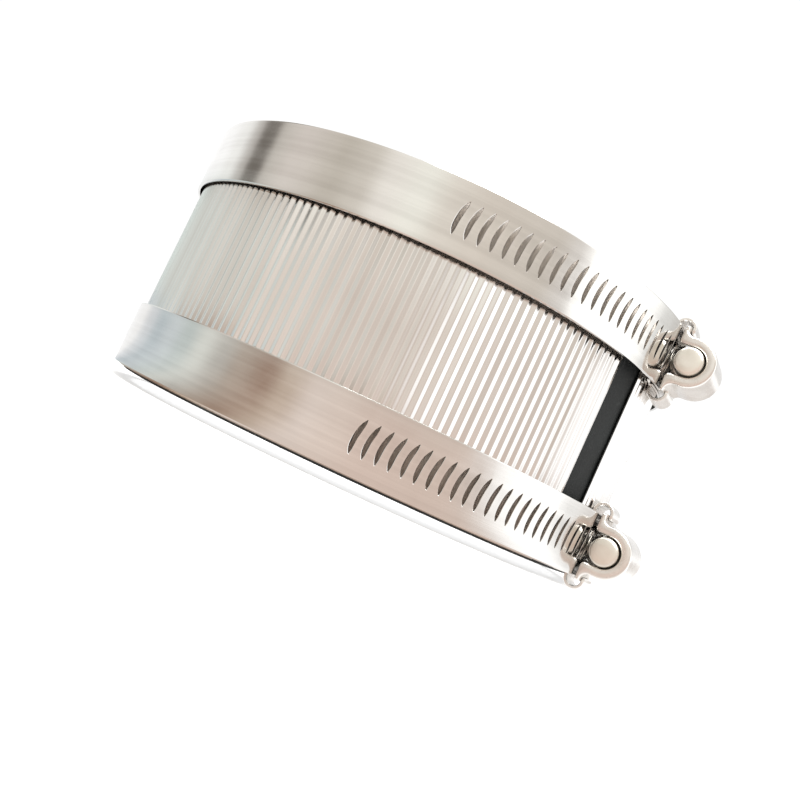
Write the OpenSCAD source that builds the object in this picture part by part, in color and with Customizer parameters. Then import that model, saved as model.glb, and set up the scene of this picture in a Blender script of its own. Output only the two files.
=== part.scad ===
// Shielded pipe coupling: a rubber sleeve inside a split corrugated steel
// shield, drawn together by two worm-drive band clamps.
// The bore runs along +Z and starts at z = 0. The screw housings stand on +X.

/* [Pipe and sleeve] */
// Outside diameter of the pipe that the coupling joins
pipe_od = 110; // [110:0.1:110.4]
// Radial room between the pipe and the unclamped sleeve
pipe_room = 0.2; // [0.1:0.05:0.3]
// Wall of the rubber sleeve
rubber_wall = 3.8; // [3.5:0.1:3.8]
// Length of the rubber sleeve
sleeve_len = 59; // [56:0.5:62]
// How far the centre stop stands in from the bore
stop_height = 2.8; // [1:0.1:5]
// Width of the centre stop along the bore
stop_width = 3.2; // [2:0.1:6]
// Sealing grooves in each half of the bore
groove_count = 6; // [1:1:8]
// Depth of one groove
groove_depth = 0.8; // [0.6:0.1:0.8]
// Width of one groove
groove_width = 1.0; // [0.9:0.05:1]

/* [Shield] */
// Length of the steel shield
shield_len = 58; // [54:0.5:60]
// Thickness of the shield's sheet, measured across the bore
sheet = 0.25; // [0.2:0.01:0.3]
// Height of the folds, from inner crest to outer crest
fold_height = 0.75; // [0.6:0.05:1]
// Folds on the full circle
fold_count = 200; // [120:4:240]
// Opening between the shield's two ends, in degrees
gap_angle = 9; // [6:0.5:9]
// Place of the opening's middle, in degrees from +X
gap_middle = -13; // [-14:0.5:-12]

/* [Bands] */
// Width of a clamp's band
band_w = 14; // [12:0.5:14.5]
// Thickness of the band
band_t = 0.65; // [0.5:0.05:0.7]
// Distance from the end of the sleeve to the band's near edge
band_inset = 0.8; // [0.8:0.1:3]
// Length of the tail that stands out past the screw's middle
tail_len = 15; // [12:0.5:20]
// Slots between the housing and the plain part of the band
slots_before = 26; // [16:1:30]
// Length of a slot across the band
slot_len = 6.8; // [5:0.1:7.5]
// Width of a slot at its middle
slot_w = 1.15; // [1.1:0.05:1.3]
// How far a slot's middle bows away from the screw
slot_bow = 0.45; // [0:0.05:0.6]

/* [Screw] */
// Travel of the band for one turn of the screw
pitch = 2.54; // [2.5:0.01:2.6]
// Outer radius of the thread
crest_r = 4.25; // [4.2:0.01:4.3]
// Radius of the screw's core
core_r = 3.3; // [3:0.1:3.4]
// Depth that the thread reaches into the band's slots
bite = 0.3; // [0.2:0.05:0.35]
// Radius of the round tip
tip_r = 3.05; // [2.8:0.05:3.1]
// Hexagon across its flats
hex_af = 7; // [6.5:0.1:7]
// Length of the hexagon head
hex_len = 5; // [4:0.5:6]

/* [Housing] */
// Length of the housing along the screw
housing_len = 12; // [12:0.5:13]
// Thickness of the housing's plate
housing_t = 1.0; // [0.9:0.05:1]
// Thickness of the saddle under the bands
saddle_t = 0.75; // [0.6:0.05:0.75]
// Width of the saddle's folded tabs along the screw
tab_len = 7; // [5:0.5:8]

/* [Rivet] */
// Radius of the rivet's head
rivet_head_r = 3.2; // [2.5:0.1:4]
// Radius of the rivet's shank
rivet_shank_r = 1.6; // [1:0.1:2]
// Height of the rivet's domed head
rivet_head_h = 0.9; // [0.6:0.1:1.2]

/* [Hidden] */
$fn = 96;

steel = "#c9c8c6";
bright_steel = "#dcdad4";
rubber = "#262928";

// radii of the sleeve and the shield
bore_r = pipe_od / 2 + pipe_room;
sleeve_r = bore_r + rubber_wall;
shield_in = sleeve_r + 0.3;
shield_out = shield_in + fold_height;
shield_z = (sleeve_len - shield_len) / 2;
mouth_chamfer = 0.5;

// a clamp's radial stack over +X, from the shield outwards
saddle_in = shield_out + 0.1;
anchor_front = saddle_in + saddle_t + 0.05;
strap_front = anchor_front + band_t + 0.35;
strap_top = strap_front + band_t;
wing_under = strap_top + 0.3;
screw_x = strap_top - bite + crest_r;

// both bands meet behind the bore, where the strap turns on its round end
back_in = shield_out + 0.3;
pivot_x = -(back_in + band_t / 2);
pivot_room = 0.06;

// the anchored band is one arc
anchor_r = (back_in + anchor_front) / 2;
anchor_cx = anchor_front - anchor_r;

// the strap's tail is an arc round the pivot, so it slides along itself
tail_r = strap_front - pivot_x;
bend_y = -2.5 * pitch;
bend_x = pivot_x + sqrt(tail_r * tail_r - bend_y * bend_y);
// both arcs run past the bend by this much, so that they cross cleanly
bend_lap = 0.3;
// the rest of the strap is an arc from the pivot to the bend
strap_r = ((bend_x + back_in) * (bend_x + back_in) + bend_y * bend_y)
    / (2 * (bend_x + back_in));
strap_cx = strap_r - back_in;
bend_angle = asin(bend_y / strap_r);
slots_after = floor((tail_len - slot_w) / pitch);
slot_lead = atan(pitch / (2 * PI * (core_r + crest_r) / 2));

lower_z = band_inset + band_w / 2;
upper_z = sleeve_len - lower_z;
far = 100;

// places the screw's own frame: its axis along +Z, its tip at the bottom
module along_screw(z) {
    translate([screw_x, 0, z]) rotate([-90, 0, 0]) children();
}

// a flat band bent round a circle, before it is cut to its stretch
module hoop(cx, r, z, w = band_w) {
    translate([cx, 0, z - w / 2])
        difference() {
            cylinder(r = r + band_t, h = w, $fn = 180);
            translate([0, 0, -1]) cylinder(r = r, h = w + 2, $fn = 180);
        }
}

module sleeve() {
    half = sleeve_len / 2;
    first = 4.0;
    last = half - stop_width / 2 - 3.0;
    step = (last - first) / groove_count;
    grooves = [for (i = [0 : groove_count - 1]) first + step * i];
    lower_wall = [
        for (g = grooves, p = [
            [bore_r, g],
            [bore_r + groove_depth, g + groove_depth / 2],
            [bore_r + groove_depth, g + groove_width - groove_depth / 2],
            [bore_r, g + groove_width]
        ]) p
    ];
    half_wall = concat(
        [[sleeve_r, half], [sleeve_r, 0.6], [sleeve_r - 0.6, 0]],
        [[bore_r + mouth_chamfer, 0], [bore_r, mouth_chamfer]],
        lower_wall,
        [
            [bore_r, half - stop_width / 2 - 0.6],
            [bore_r - 0.6, half - stop_width / 2],
            [bore_r - stop_height, half - stop_width / 2 + 0.4],
            [bore_r - stop_height, half]
        ]
    );
    color(rubber) {
        rotate_extrude($fn = 180) polygon(half_wall);
        translate([0, 0, sleeve_len]) mirror([0, 0, 1])
            rotate_extrude($fn = 180) polygon(half_wall);
    }
}

// the folded sheet: crests and valleys on a circle, left open at the gap
module shield() {
    turn = 360 - gap_angle;
    folds = floor(fold_count * turn / 360);
    start = gap_middle + gap_angle / 2;
    steps = 2 * folds;
    function fold_r(i) = i % 2 == 0 ? shield_in : shield_out - sheet;
    function at(i, r) = let (a = start + turn * i / steps) [r * cos(a), r * sin(a)];
    outline = concat(
        [for (i = [0 : steps]) at(i, fold_r(i))],
        [for (i = [steps : -1 : 0]) at(i, fold_r(i) + sheet)]
    );
    color(steel)
        translate([0, 0, shield_z]) linear_extrude(shield_len) polygon(outline);
}

module anchor_band(z) {
    end_y = 0.5 - housing_len / 2;
    color(steel) difference() {
        intersection() {
            hoop(anchor_cx, anchor_r, z);
            translate([0, 0, z - band_w]) linear_extrude(2 * band_w)
                polygon([
                    [-far, 0], [0, 0], [0, end_y], [far, end_y],
                    [far, far], [-far, far]
                ]);
        }
        translate([pivot_x, 0, z - band_w])
            cylinder(r = band_t / 2 + pivot_room, h = 2 * band_w, $fn = 48);
        rivet_hole(z);
    }
}

// one slot, pointed at both ends, standing on the XY plane and cut along +Z
module slot() {
    steps = 4;
    function middle(t) = -slot_bow * (1 - t * t) + slot_bow / 2
        + t * slot_len / 2 * tan(slot_lead);
    function side(t) = slot_w / 2 * (1 - t * t * t * t);
    outline = concat(
        [for (i = [-steps : steps]) let (t = i / steps)
            [t * slot_len / 2, middle(t) - side(t)]],
        [for (i = [steps - 1 : -1 : 1 - steps]) let (t = i / steps)
            [t * slot_len / 2, middle(t) + side(t)]]
    );
    translate([0, 0, -2]) linear_extrude(4) polygon(outline);
}

// puts a slot on an arc of the strap, with its length across the band
module slot_at(cx, r, angle, z) {
    translate([cx, 0, z]) rotate([0, 0, angle]) translate([r, 0, 0])
        rotate([0, 90, 0]) mirror([1, 0, 0]) slot();
}

module slotted_band(z) {
    color(steel) difference() {
        union() {
            intersection() {
                hoop(strap_cx, strap_r, z);
                translate([0, 0, z - band_w]) linear_extrude(2 * band_w)
                    polygon([
                        [-far, 0], [0, 0], [0, bend_y + bend_lap], [far, bend_y + bend_lap],
                        [far, -far], [-far, -far]
                    ]);
            }
            intersection() {
                hoop(pivot_x, tail_r, z);
                translate([0, bend_y - bend_lap, z - band_w])
                    cube([far, tail_len - bend_y + bend_lap, 2 * band_w]);
            }
            translate([pivot_x, 0, z - band_w / 2])
                cylinder(r = band_t / 2 - 0.02, h = band_w, $fn = 48);
        }
        for (i = [-2 : slots_after])
            slot_at(pivot_x, tail_r, i * pitch / tail_r * 180 / PI, z);
        for (i = [3 : slots_before])
            slot_at(strap_cx, strap_r,
                bend_angle - (i - 2.5) * pitch / strap_r * 180 / PI, z);
        tail_corners(z);
    }
}

// clips the two corners of the tail
module tail_corners(z) {
    clip = 2.5;
    for (side = [-1, 1])
        translate([strap_top, tail_len, z + side * band_w / 2])
            rotate([45, 0, 0]) cube([6, clip, clip], center = true);
}

module saddle(z) {
    fold_low = saddle_in + saddle_t / 2;
    lip = wing_under + housing_t + 0.05 + saddle_t / 2;
    fold_r = (lip - fold_low) / 2;
    fold_x = (lip + fold_low) / 2;
    fold_z = band_w / 2 + 2.8 - fold_r - saddle_t / 2;
    color(steel) {
        // curved base under the bands
        intersection() {
            translate([0, 0, z - fold_z])
                difference() {
                    cylinder(r = saddle_in + saddle_t, h = 2 * fold_z, $fn = 180);
                    translate([0, 0, -1])
                        cylinder(r = saddle_in, h = 2 * fold_z + 2, $fn = 180);
                }
            translate([far / 2, 0, z])
                cube([far, housing_len - 1, 2 * fold_z], center = true);
        }
        // a tab folded up and over the housing's wing at each edge
        for (side = [-1, 1])
            translate([fold_x, 0, z + side * fold_z])
                rotate([90, 0, 0])
                    intersection() {
                        difference() {
                            cylinder(r = fold_r + saddle_t / 2, h = tab_len,
                                center = true, $fn = 48);
                            cylinder(r = fold_r - saddle_t / 2, h = tab_len + 2,
                                center = true, $fn = 48);
                        }
                        translate([0, side * far / 2 - side * 0.15, 0])
                            cube([far, far, far], center = true);
                    }
    }
}

// the housing's section, drawn with the screw's middle at the origin and
// the bands below it
module housing_section(inner) {
    outer_r = crest_r + 0.3 + housing_t;
    wing_low = wing_under - screw_x;
    wing_top = wing_low + housing_t;
    flare = 1.5;
    flare_x = outer_r + flare;
    flare_y = wing_top + flare;
    wing_end = flare_x + 0.5;
    difference() {
        circle(r = outer_r, $fn = 64);
        circle(r = inner, $fn = 64);
        translate([-far / 2, -far]) square([far, far]);
    }
    for (side = [0, 1]) mirror([side, 0]) {
        translate([inner, flare_y - 0.01]) square([outer_r - inner, 0.02 - flare_y]);
        intersection() {
            translate([flare_x, flare_y]) difference() {
                circle(r = flare + outer_r - inner, $fn = 64);
                circle(r = flare, $fn = 64);
            }
            translate([inner, wing_low]) square([flare_x - inner, flare_y - wing_low]);
        }
        translate([flare_x - 0.01, wing_low]) square([wing_end - flare_x + 0.01, housing_t]);
    }
}

module housing(z) {
    inner_r = crest_r + 0.3;
    lip_r = tip_r + 0.35;
    collar_r = 3.0;
    end_t = 1.0;
    low = wing_under - screw_x;
    color(bright_steel) along_screw(z) rotate([0, 0, -90]) {
        translate([0, 0, -housing_len / 2])
            linear_extrude(housing_len) housing_section(inner_r);
        // necked ends keep the thread inside
        for (end = [[-1, lip_r], [1, collar_r]])
            translate([0, 0, end[0] * (housing_len - end_t) / 2])
                linear_extrude(end_t, center = true)
                    difference() {
                        intersection() {
                            circle(r = inner_r + 0.1, $fn = 64);
                            translate([-far / 2, low + 0.2]) square([far, far]);
                        }
                        circle(r = end[1], $fn = 64);
                        translate([-end[1], -far]) square([2 * end[1], far]);
                    }
    }
}

// the worm thread: a trapezoid swept round the core, with closed ends
module thread(from, to) {
    per_turn = 24;
    root = core_r - 0.2;
    crest_flat = 0.4;
    root_flat = crest_flat + 2 * (crest_r - root) * tan(25);
    // a crest faces the band at the middle of the band's travel
    turns = (to - from - root_flat) / pitch;
    rings = floor(turns * per_turn);
    first = round((from + root_flat / 2) / pitch * per_turn);
    function ring(i) = let (
        a = 360 * i / per_turn + 270,
        h = pitch * i / per_turn
    ) [
        [root * sin(a), -root * cos(a), h - root_flat / 2],
        [crest_r * sin(a), -crest_r * cos(a), h - crest_flat / 2],
        [crest_r * sin(a), -crest_r * cos(a), h + crest_flat / 2],
        [root * sin(a), -root * cos(a), h + root_flat / 2]
    ];
    points = [for (i = [0 : rings]) each ring(first + i)];
    sides = [for (i = [0 : rings - 1], k = [0 : 3]) let (
        a = 4 * i + k, b = 4 * i + (k + 1) % 4
    ) each [[a, b, b + 4], [a, b + 4, a + 4]]];
    last = 4 * rings;
    caps = [
        [0, 3, 2], [0, 2, 1],
        [last, last + 1, last + 2], [last, last + 2, last + 3]
    ];
    polyhedron(points, concat(sides, caps));
}

module screw(z) {
    inside = housing_len / 2 - 1.0;
    tip_end = -housing_len / 2 - 1.1;
    head = housing_len / 2 + 1.0;
    neck_r = 2.7;
    color(bright_steel) along_screw(z) difference() {
        union() {
            // round tip with a softened edge
            translate([0, 0, tip_end])
                rotate_extrude($fn = 64) polygon([
                    [0, 0], [tip_r - 0.5, 0], [tip_r - 0.15, 0.15], [tip_r, 0.5],
                    [tip_r, -tip_end - inside + 0.35], [0, -tip_end - inside + 0.35]
                ]);
            translate([0, 0, -inside + 0.3])
                cylinder(r = core_r, h = 2 * inside - 0.7, $fn = 64);
            thread(-inside + 0.2, inside - 0.2);
            cylinder(r = neck_r, h = head + 0.5, $fn = 64);
            // hexagon with chamfered corners
            translate([0, 0, head]) intersection() {
                rotate([0, 0, 30]) cylinder(r = hex_af / 2 / cos(30), h = hex_len, $fn = 6);
                rotate_extrude($fn = 64) polygon([
                    [0, 0], [hex_af / 2 - 0.1, 0], [hex_af / 2 + 0.55, 0.45],
                    [hex_af / 2 + 0.55, hex_len - 0.5], [hex_af / 2 - 0.2, hex_len], [0, hex_len]
                ]);
            }
        }
        // screwdriver slot
        translate([0, 0, head + hex_len]) cube([1.2, hex_af + 2, 3], center = true);
    }
}

// the rivet stands beside the pivot and holds the clamp to the shield
module at_rivet(z) {
    translate([anchor_cx, 0, z]) rotate([0, 0, 172]) rotate([0, 90, 0]) children();
}

module rivet_hole(z) {
    at_rivet(z) translate([0, 0, anchor_r - 3])
        cylinder(r = rivet_shank_r + 0.05, h = 6, $fn = 48);
}

module rivet(z) {
    seat = anchor_r + band_t + 0.1;
    foot = shield_out + anchor_cx + 0.05;
    dome_r = (rivet_head_r * rivet_head_r + rivet_head_h * rivet_head_h) / (2 * rivet_head_h);
    color(bright_steel) at_rivet(z) {
        translate([0, 0, foot])
            cylinder(r = rivet_shank_r, h = seat - foot + 0.1, $fn = 48);
        translate([0, 0, seat]) intersection() {
            cylinder(r = rivet_head_r, h = rivet_head_h, $fn = 48);
            translate([0, 0, rivet_head_h - dome_r]) sphere(r = dome_r, $fn = 96);
        }
    }
}

sleeve();
shield();
anchor_band(lower_z);  // lower_anchor_band
slotted_band(lower_z);  // lower_slotted_band
saddle(lower_z);  // lower_saddle
housing(lower_z);  // lower_housing
screw(lower_z);  // lower_screw
rivet(lower_z);  // lower_rivet
anchor_band(upper_z);  // upper_anchor_band
slotted_band(upper_z);  // upper_slotted_band
saddle(upper_z);  // upper_saddle
housing(upper_z);  // upper_housing
screw(upper_z);  // upper_screw
rivet(upper_z);  // upper_rivet
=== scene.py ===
import math
import random

import bmesh
import bpy
from mathutils import Matrix, Vector


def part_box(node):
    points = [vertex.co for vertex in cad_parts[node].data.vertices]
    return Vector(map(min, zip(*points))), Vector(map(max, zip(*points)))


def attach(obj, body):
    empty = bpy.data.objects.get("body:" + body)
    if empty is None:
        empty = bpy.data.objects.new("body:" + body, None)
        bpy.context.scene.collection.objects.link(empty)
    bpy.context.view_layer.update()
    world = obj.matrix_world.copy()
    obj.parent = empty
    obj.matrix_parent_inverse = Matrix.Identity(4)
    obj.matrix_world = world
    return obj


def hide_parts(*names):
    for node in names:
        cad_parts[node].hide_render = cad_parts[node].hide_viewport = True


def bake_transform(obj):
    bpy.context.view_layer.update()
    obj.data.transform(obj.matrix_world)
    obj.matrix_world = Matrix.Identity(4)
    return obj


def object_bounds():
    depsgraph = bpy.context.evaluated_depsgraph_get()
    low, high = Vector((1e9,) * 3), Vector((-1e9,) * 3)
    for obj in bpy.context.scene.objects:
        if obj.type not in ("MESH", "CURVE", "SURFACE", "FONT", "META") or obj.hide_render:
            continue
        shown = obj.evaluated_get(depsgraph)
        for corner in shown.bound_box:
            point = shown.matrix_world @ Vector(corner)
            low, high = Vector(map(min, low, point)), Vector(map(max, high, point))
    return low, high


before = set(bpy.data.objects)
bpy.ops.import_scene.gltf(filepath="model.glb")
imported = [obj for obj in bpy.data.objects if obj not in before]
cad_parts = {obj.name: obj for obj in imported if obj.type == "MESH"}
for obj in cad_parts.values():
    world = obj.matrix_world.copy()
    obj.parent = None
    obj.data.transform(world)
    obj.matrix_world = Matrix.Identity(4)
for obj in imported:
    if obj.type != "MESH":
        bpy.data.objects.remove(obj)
cad_low, cad_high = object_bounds()

mm = 0.001
chance = random.Random(11)

# ------------------------------------------------------------- sizes and places
# The bore runs along +Z from z = 0. The screw housings stand on +X, the screw
# tips point to -Y, and the straps turn about a pivot line on -X.
sleeve_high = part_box("sleeve")[1]
shield_low, shield_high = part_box("shield")
strap_low, strap_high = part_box("lower_slotted_band")
screw_low, screw_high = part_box("lower_screw")
housing_low, housing_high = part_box("lower_housing")
saddle_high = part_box("lower_saddle")[1]

# rubber sleeve
sleeve_r = sleeve_high.x
sleeve_len = sleeve_high.z
rubber_wall = 3.8 * mm
bore_r = sleeve_r - rubber_wall
stop_height = 2.8 * mm
stop_width = 3.2 * mm
stop_chamfer = 0.6 * mm
stop_ease = 0.4 * mm
stop_lead = 2.0 * mm
stop_round = 0.5 * mm
mouth_round = 0.7 * mm
groove_count = 6
groove_depth = 0.8 * mm
groove_width = 1.0 * mm
groove_lead = 0.3 * mm
groove_round = 0.25 * mm
first_groove = 4.0 * mm
last_land = 3.0 * mm

# corrugated shield
shield_out = shield_high.y
sheet = 0.25 * mm
sheet_edge = 0.05 * mm
fold_height = 0.75 * mm
fold_ease = 0.16 * mm
fold_count = 200
gap_angle = math.radians(9)
gap_middle = math.radians(-13)

# bands; the middle point of a rounded edge is drawn in by edge_diagonal of its rounding
band_w = strap_high.z - strap_low.z
band_t = 0.65 * mm
band_edge = 0.2 * mm
edge_diagonal = 0.29
back_in = -strap_low.x - band_t
strap_front = strap_high.x - band_t
tail_len = strap_high.y
pivot_x = -(back_in + band_t / 2)
pitch = 2.54 * mm
slot_len = 6.8 * mm
slot_w = 0.95 * mm
slot_bow = 0.45 * mm
slot_rim = 0.06 * mm
slot_tip = 0.06 * mm
first_slot = -26
last_slot = 5
tail_clip = 1.8 * mm
tail_edge = 0.12 * mm

# the strap's tail is an arc round the pivot, and the rest an arc from the
# pivot to the bend in front of the housing
tail_r = strap_front - pivot_x
slots_to_bend = 2.5
bend_y = -slots_to_bend * pitch
bend_x = pivot_x + math.sqrt(tail_r ** 2 - bend_y ** 2)
strap_reach = bend_x + back_in
strap_r = (strap_reach ** 2 + bend_y ** 2) / (2 * strap_reach)
strap_cx = strap_r - back_in
bend_angle = math.asin(bend_y / strap_r)

# saddle and fixed band under the strap
saddle_t = 0.75 * mm
saddle_gap = 0.1 * mm
fixed_gap = 0.05 * mm
saddle_in = shield_out + saddle_gap
fixed_front = saddle_in + saddle_t + fixed_gap
fixed_r = (back_in + fixed_front) / 2
fixed_cx = fixed_front - fixed_r
seam_angle = math.radians(168)
tab_len = 7 * mm
under_housing = 0.5 * mm

# places along the strap, from the screw's middle: the bend, the pivot and the seam
u_bend = -slots_to_bend * pitch
u_pivot = u_bend - (math.pi + bend_angle) * strap_r
u_seam = u_pivot - (math.pi - seam_angle) * fixed_r

# screw
crest_r = 4.25 * mm
core_r = 3.3 * mm
neck_r = 2.7 * mm
tip_r = 3.05 * mm
hex_af = 7 * mm
hex_len = 5 * mm
bite = 0.3 * mm
screw_x = strap_high.x - bite + crest_r
slot_lead = math.atan(pitch / (math.pi * (core_r + crest_r)))

# housing, drawn round the screw's middle
housing_len = housing_high.y - housing_low.y
housing_t = 1.0 * mm
arch_gap = 0.3 * mm
wing_gap = 0.3 * mm
wing_flat = 0.5 * mm
lip_gap = 0.35 * mm
arch_in = crest_r + arch_gap
arch_out = arch_in + housing_t
flare = 1.5 * mm
wing_under = strap_high.x + wing_gap
wing_low = wing_under - screw_x
flare_x = arch_out + flare
flare_y = wing_low + housing_t + flare
wing_end = flare_x + wing_flat
lip_r = tip_r + lip_gap
collar_r = 3.0 * mm
lip_corner = 0.8 * mm

# rivet
rivet_angle = math.radians(172)
rivet_head_r = 3.2 * mm
rivet_head_h = 0.9 * mm
rivet_shank_r = 1.6 * mm
rivet_dome = 0.8
rivet_seat_gap = 0.02 * mm
rivet_foot_gap = 0.05 * mm

clamps = {
    "lower": (strap_low.z + strap_high.z) / 2,
    "upper": sleeve_len - (strap_low.z + strap_high.z) / 2,
}


# ---------------------------------------------------------------- stage
camera_azimuth = 30.0
camera_distance = 215.3074 * mm
camera_height = 6.9 * mm
camera_pan = 1.117
camera_tilt = 3.71
camera_roll = -25.06
camera_lens = 38.94
camera_sensor = 36
camera_nearest = 0.005
camera_furthest = 20

ceiling = (1.1, 1.1, 1.1)
wall_white = (1.05, 1.05, 1.05)
floor_white = (0.86, 0.86, 0.86)
floor_glow = (0.6, 0.6, 0.6)
floor_rough = 0.9
floor_radius = 6.0
floor_sides = 96

# heights in degrees over which each ring of panels gives way to the one above it
low_to_middle = (2.4, 3.8)
middle_to_high = (10, 12.5)
high_to_ceiling = (32, 65)

softbox_place = (0.25, -0.35, 0.9)
softbox_size = 0.7
softbox_power = 9.0


def place_camera():
    """Stands the camera low in front of the slots, leaning so that the bore runs up to the right."""
    azimuth = math.radians(camera_azimuth)
    pan, tilt, roll = (math.radians(a) for a in (camera_pan, camera_tilt, camera_roll))
    back = Vector((math.sin(azimuth), -math.cos(azimuth), 0))
    right = Vector((math.cos(azimuth), math.sin(azimuth), 0))
    up = Vector((0, 0, 1))
    forward = math.cos(tilt) * (math.sin(pan) * right - math.cos(pan) * back) + math.sin(tilt) * up
    level = math.cos(pan) * right + math.sin(pan) * back
    above = level.cross(forward)
    leaning = math.cos(roll) * level - math.sin(roll) * above
    data = bpy.data.cameras.new("camera")
    data.lens = camera_lens
    data.sensor_width = camera_sensor
    data.clip_start = camera_nearest
    data.clip_end = camera_furthest
    camera = bpy.data.objects.new("camera", data)
    turn = Matrix((leaning, leaning.cross(forward), -forward)).transposed()
    camera.matrix_world = Matrix.Translation(camera_distance * back + camera_height * up) @ turn.to_4x4()
    bpy.context.scene.collection.objects.link(camera)
    bpy.context.scene.camera = camera


# Soft panels round the part: bearing in degrees from the camera's side, positive
# to its right, and the panel's colour. Low panels stand at the floor's level, and
# middle and high ones above them.
low_panels = [
    (-180, (1.00, 1.00, 1.00)),
    (-138, (1.05, 1.05, 1.05)),
    (-126, (0.80, 0.83, 0.86)),
    (-115, (0.58, 0.65, 0.69)),
    (-104, (0.72, 0.78, 0.81)),
    (-93, (0.66, 0.73, 0.72)),
    (-82, (0.86, 0.88, 0.83)),
    (-71, (0.58, 0.56, 0.52)),
    (-60, (0.51, 0.42, 0.35)),
    (-48, (0.42, 0.29, 0.22)),
    (-38, (0.66, 0.53, 0.43)),
    (-26, (0.90, 0.78, 0.71)),
    (-12, (0.86, 0.72, 0.64)),
    (0, (0.81, 0.65, 0.57)),
    (36, (0.79, 0.64, 0.56)),
    (48, (0.78, 0.68, 0.62)),
    (58, (1.25, 1.23, 1.21)),
    (70, (1.45, 1.45, 1.45)),
    (86, (1.42, 1.42, 1.42)),
    (100, (0.95, 0.94, 0.92)),
    (116, (0.90, 0.87, 0.84)),
    (130, (0.80, 0.74, 0.70)),
    (150, (0.90, 0.90, 0.90)),
]
middle_panels = [
    (-180, (1.05, 1.05, 1.05)),
    (-150, (0.96, 0.98, 0.98)),
    (-118, (0.78, 0.86, 0.82)),
    (-95, (0.76, 0.78, 0.74)),
    (-60, (0.79, 0.76, 0.70)),
    (-20, (0.88, 0.79, 0.71)),
    (12, (0.78, 0.69, 0.62)),
    (37, (0.76, 0.67, 0.60)),
    (47, (1.25, 1.22, 1.20)),
    (56, (1.45, 1.45, 1.45)),
    (126, (1.40, 1.40, 1.40)),
    (150, (1.05, 1.05, 1.05)),
]
high_panels = [
    (-180, (1.05, 1.05, 1.05)),
    (-136, (1.12, 1.12, 1.12)),
    (-122, (1.05, 1.05, 1.03)),
    (-111, (0.58, 0.55, 0.52)),
    (-107, (0.20, 0.18, 0.16)),
    (-100, (0.20, 0.18, 0.16)),
    (-95, (0.66, 0.62, 0.57)),
    (-82, (0.79, 0.73, 0.68)),
    (-59, (0.65, 0.60, 0.53)),
    (-47, (0.76, 0.71, 0.64)),
    (-36, (1.00, 0.96, 0.90)),
    (-22, (1.04, 1.03, 0.95)),
    (-8, (0.88, 0.82, 0.74)),
    (6, (0.81, 0.74, 0.66)),
    (36, (0.75, 0.69, 0.62)),
    (48, (0.84, 0.80, 0.76)),
    (57, (1.55, 1.55, 1.53)),
    (84, (1.70, 1.70, 1.70)),
    (95, (1.40, 1.40, 1.38)),
    (106, (0.90, 0.90, 0.88)),
    (122, (0.70, 0.68, 0.65)),
    (150, (0.95, 0.95, 0.95)),
]


def panel_ring(tree, share, panels):
    """A colour ramp that holds one ring of panels."""
    ring = tree.nodes.new("ShaderNodeValToRGB")
    ring.color_ramp.interpolation = "EASE"
    stops = ring.color_ramp.elements
    while len(stops) < len(panels):
        stops.new(0.5)
    for stop, (degrees, colour) in zip(stops, panels):
        stop.position = degrees / 360 + 0.5
        stop.color = (*colour, 1)
    tree.links.new(share, ring.inputs["Fac"])
    return ring.outputs["Color"]


def rising(tree, value, low, high):
    """A smooth rise from 0 to 1 as the value, the sine of a height, passes two heights in degrees."""
    node = tree.nodes.new("ShaderNodeMapRange")
    node.interpolation_type = "SMOOTHSTEP"
    node.inputs["From Min"].default_value = math.sin(math.radians(low))
    node.inputs["From Max"].default_value = math.sin(math.radians(high))
    tree.links.new(value, node.inputs["Value"])
    return node.outputs["Result"]


def panels_group():
    """The panels' colour in a given direction from the part, which floor and surroundings share."""
    group = bpy.data.node_groups.new("studio_panels", "ShaderNodeTree")
    group.interface.new_socket(name="Direction", in_out="INPUT", socket_type="NodeSocketVector")
    group.interface.new_socket(name="Colour", in_out="OUTPUT", socket_type="NodeSocketColor")
    start = group.nodes.new("NodeGroupInput")
    end = group.nodes.new("NodeGroupOutput")
    turn = group.nodes.new("ShaderNodeVectorRotate")
    turn.rotation_type = "Z_AXIS"
    turn.inputs["Angle"].default_value = -math.radians(camera_azimuth)
    group.links.new(start.outputs["Direction"], turn.inputs["Vector"])
    split = group.nodes.new("ShaderNodeSeparateXYZ")
    group.links.new(turn.outputs["Vector"], split.inputs["Vector"])
    nearer = combine(group, "MULTIPLY", split.outputs["Y"], -1.0)
    bearing = combine(group, "ARCTAN2", split.outputs["X"], nearer)
    share = spread(group, bearing, -math.pi, math.pi, 0, 1)
    height = split.outputs["Z"]
    colour = panel_ring(group, share, low_panels)
    middle = panel_ring(group, share, middle_panels)
    colour = mix_colour(group, rising(group, height, *low_to_middle), colour, middle)
    high = panel_ring(group, share, high_panels)
    colour = mix_colour(group, rising(group, height, *middle_to_high), colour, high)
    colour = mix_colour(group, rising(group, height, *high_to_ceiling), colour, ceiling)
    group.links.new(colour, end.inputs["Colour"])
    return group


def studio_world():
    """Lights the part from its ring of soft panels; the camera itself sees a white wall."""
    world = bpy.data.worlds.new("soft_studio")
    bpy.context.scene.world = world
    world.use_nodes = True
    tree = world.node_tree
    tree.nodes.clear()
    where = tree.nodes.new("ShaderNodeTexCoord")
    panels = place_group(tree, studio_panels)
    tree.links.new(where.outputs["Generated"], panels.inputs["Direction"])
    sight = tree.nodes.new("ShaderNodeLightPath")
    seen = mix_colour(tree, sight.outputs["Is Camera Ray"], panels.outputs["Colour"], wall_white)
    background = tree.nodes.new("ShaderNodeBackground")
    tree.links.new(seen, background.inputs["Color"])
    end = tree.nodes.new("ShaderNodeOutputWorld")
    tree.links.new(background.outputs["Background"], end.inputs["Surface"])


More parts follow.
